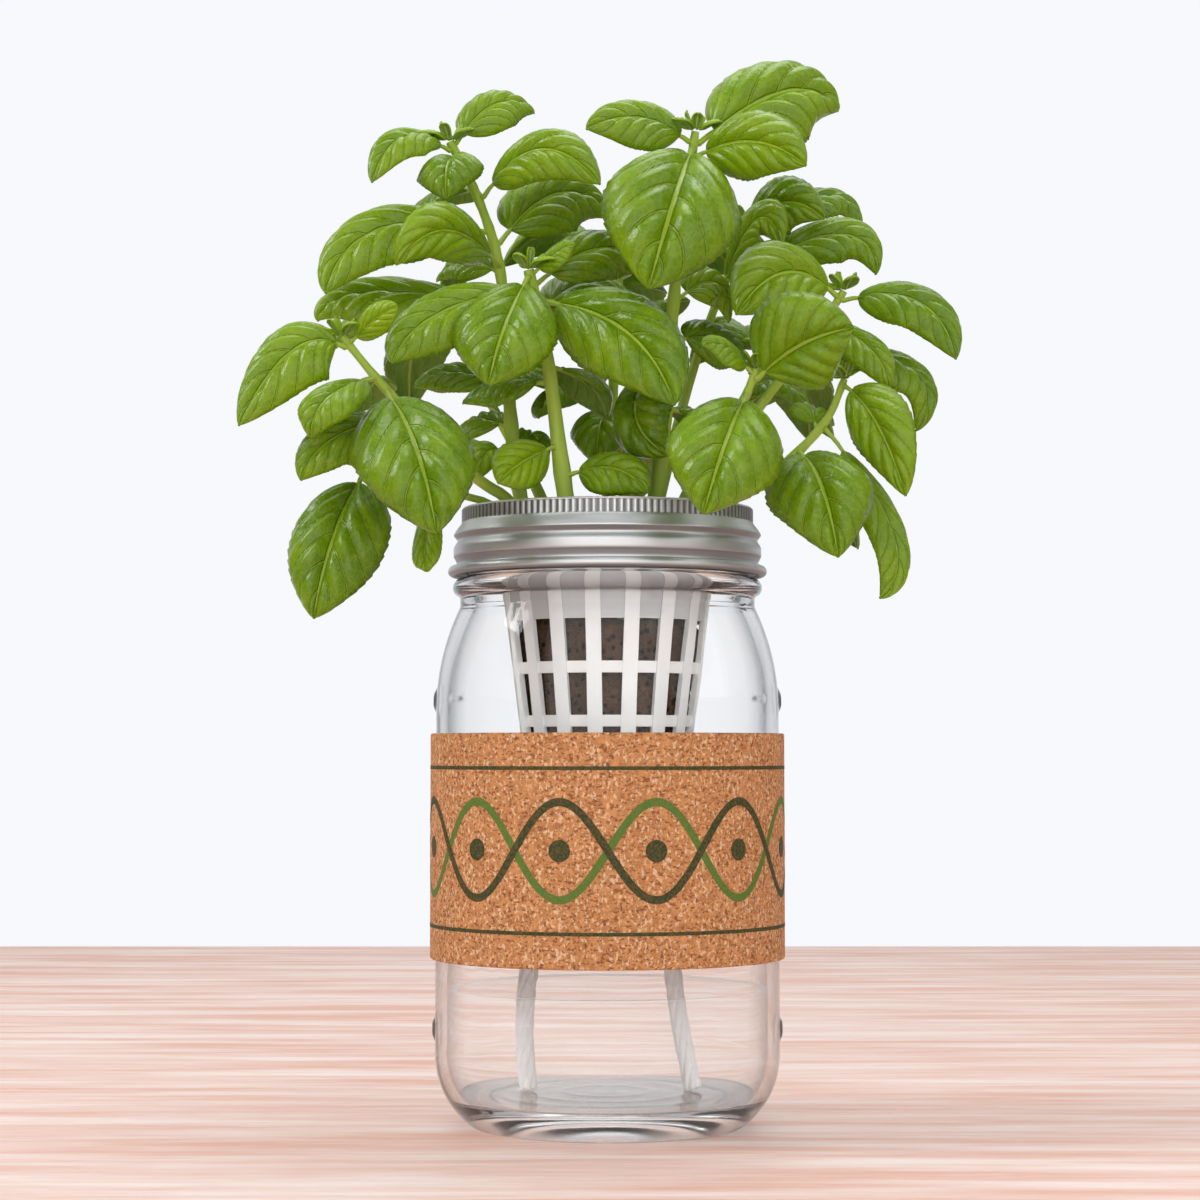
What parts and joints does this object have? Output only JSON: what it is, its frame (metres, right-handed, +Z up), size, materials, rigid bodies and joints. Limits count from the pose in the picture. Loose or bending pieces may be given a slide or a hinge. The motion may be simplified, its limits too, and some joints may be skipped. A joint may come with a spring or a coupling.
{
  "type": "hydroponic jar planter",
  "caption": "Glass jar hydroponic planter with a metal screw band, a slatted net cup and sponge plug hung in its mouth, cotton wicks, a cork label and a leafy basil plant.",
  "frame": {"origin": "middle of the jar's foot, on the surface that it stands on", "axes": "+Z up along the jar's axis; the front of the label faces -Y, and +X is to the right seen from the front"},
  "size_m": [0.2017, 0.1537, 0.3065],
  "materials": {
    "clear_glass": "clear moulded glass",
    "cork": "thin agglomerated cork sheet",
    "band_metal": "silvery rolled sheet metal",
    "white_plastic": "moulded white plastic",
    "brown_sponge": "brown growing sponge with small pits",
    "cotton": "twisted white cotton",
    "basil_stem": "pale green living stem",
    "basil_leaf": "glossy green living leaf"
  },
  "bodies": {
    "jar": {"glass_jar": "clear_glass", "cork_label": "cork"},
    "cup": {"net_cup": "white_plastic", "wick_left": "cotton", "wick_right": "cotton"},
    "band": {"screw_band": "band_metal"},
    "plant": {"growing_plug": "brown_sponge", "stem_tall_left": "basil_stem", "stem_low_left": "basil_stem", "stem_front_left": "basil_stem", "stem_tall_right": "basil_stem", "stem_far_right": "basil_stem", "stem_front_right": "basil_stem", "stem_low_right": "basil_stem", "stem_side_left": "basil_stem", "stem_back_tall": "basil_stem", "stem_back_left": "basil_stem", "stem_back_middle": "basil_stem", "stem_back_right": "basil_stem", "leaves_tall_left": "basil_leaf", "leaves_low_left": "basil_leaf", "leaves_front_left": "basil_leaf", "leaves_tall_right": "basil_leaf", "leaves_far_right": "basil_leaf", "leaves_front_right": "basil_leaf", "leaves_low_right": "basil_leaf", "leaves_side_left": "basil_leaf", "leaves_back_tall": "basil_leaf", "leaves_back_left": "basil_leaf", "leaves_back_middle": "basil_leaf", "leaves_back_right": "basil_leaf"}
  },
  "joints": [
    {"name": "cup_lift", "type": "slide", "parent": "jar", "child": "cup", "axis": [0, 0, 1], "range_m": [0, 0.18]},
    {"name": "band_turn", "type": "hinge", "parent": "cup", "child": "band", "pos_m": [0, 0, 0.164], "axis": [0, 0, 1], "range_deg": [0, 450]},
    {"name": "plug_lift", "type": "slide", "parent": "cup", "child": "plant", "axis": [0, 0, 1], "range_m": [0, 0.09]}
  ]
}
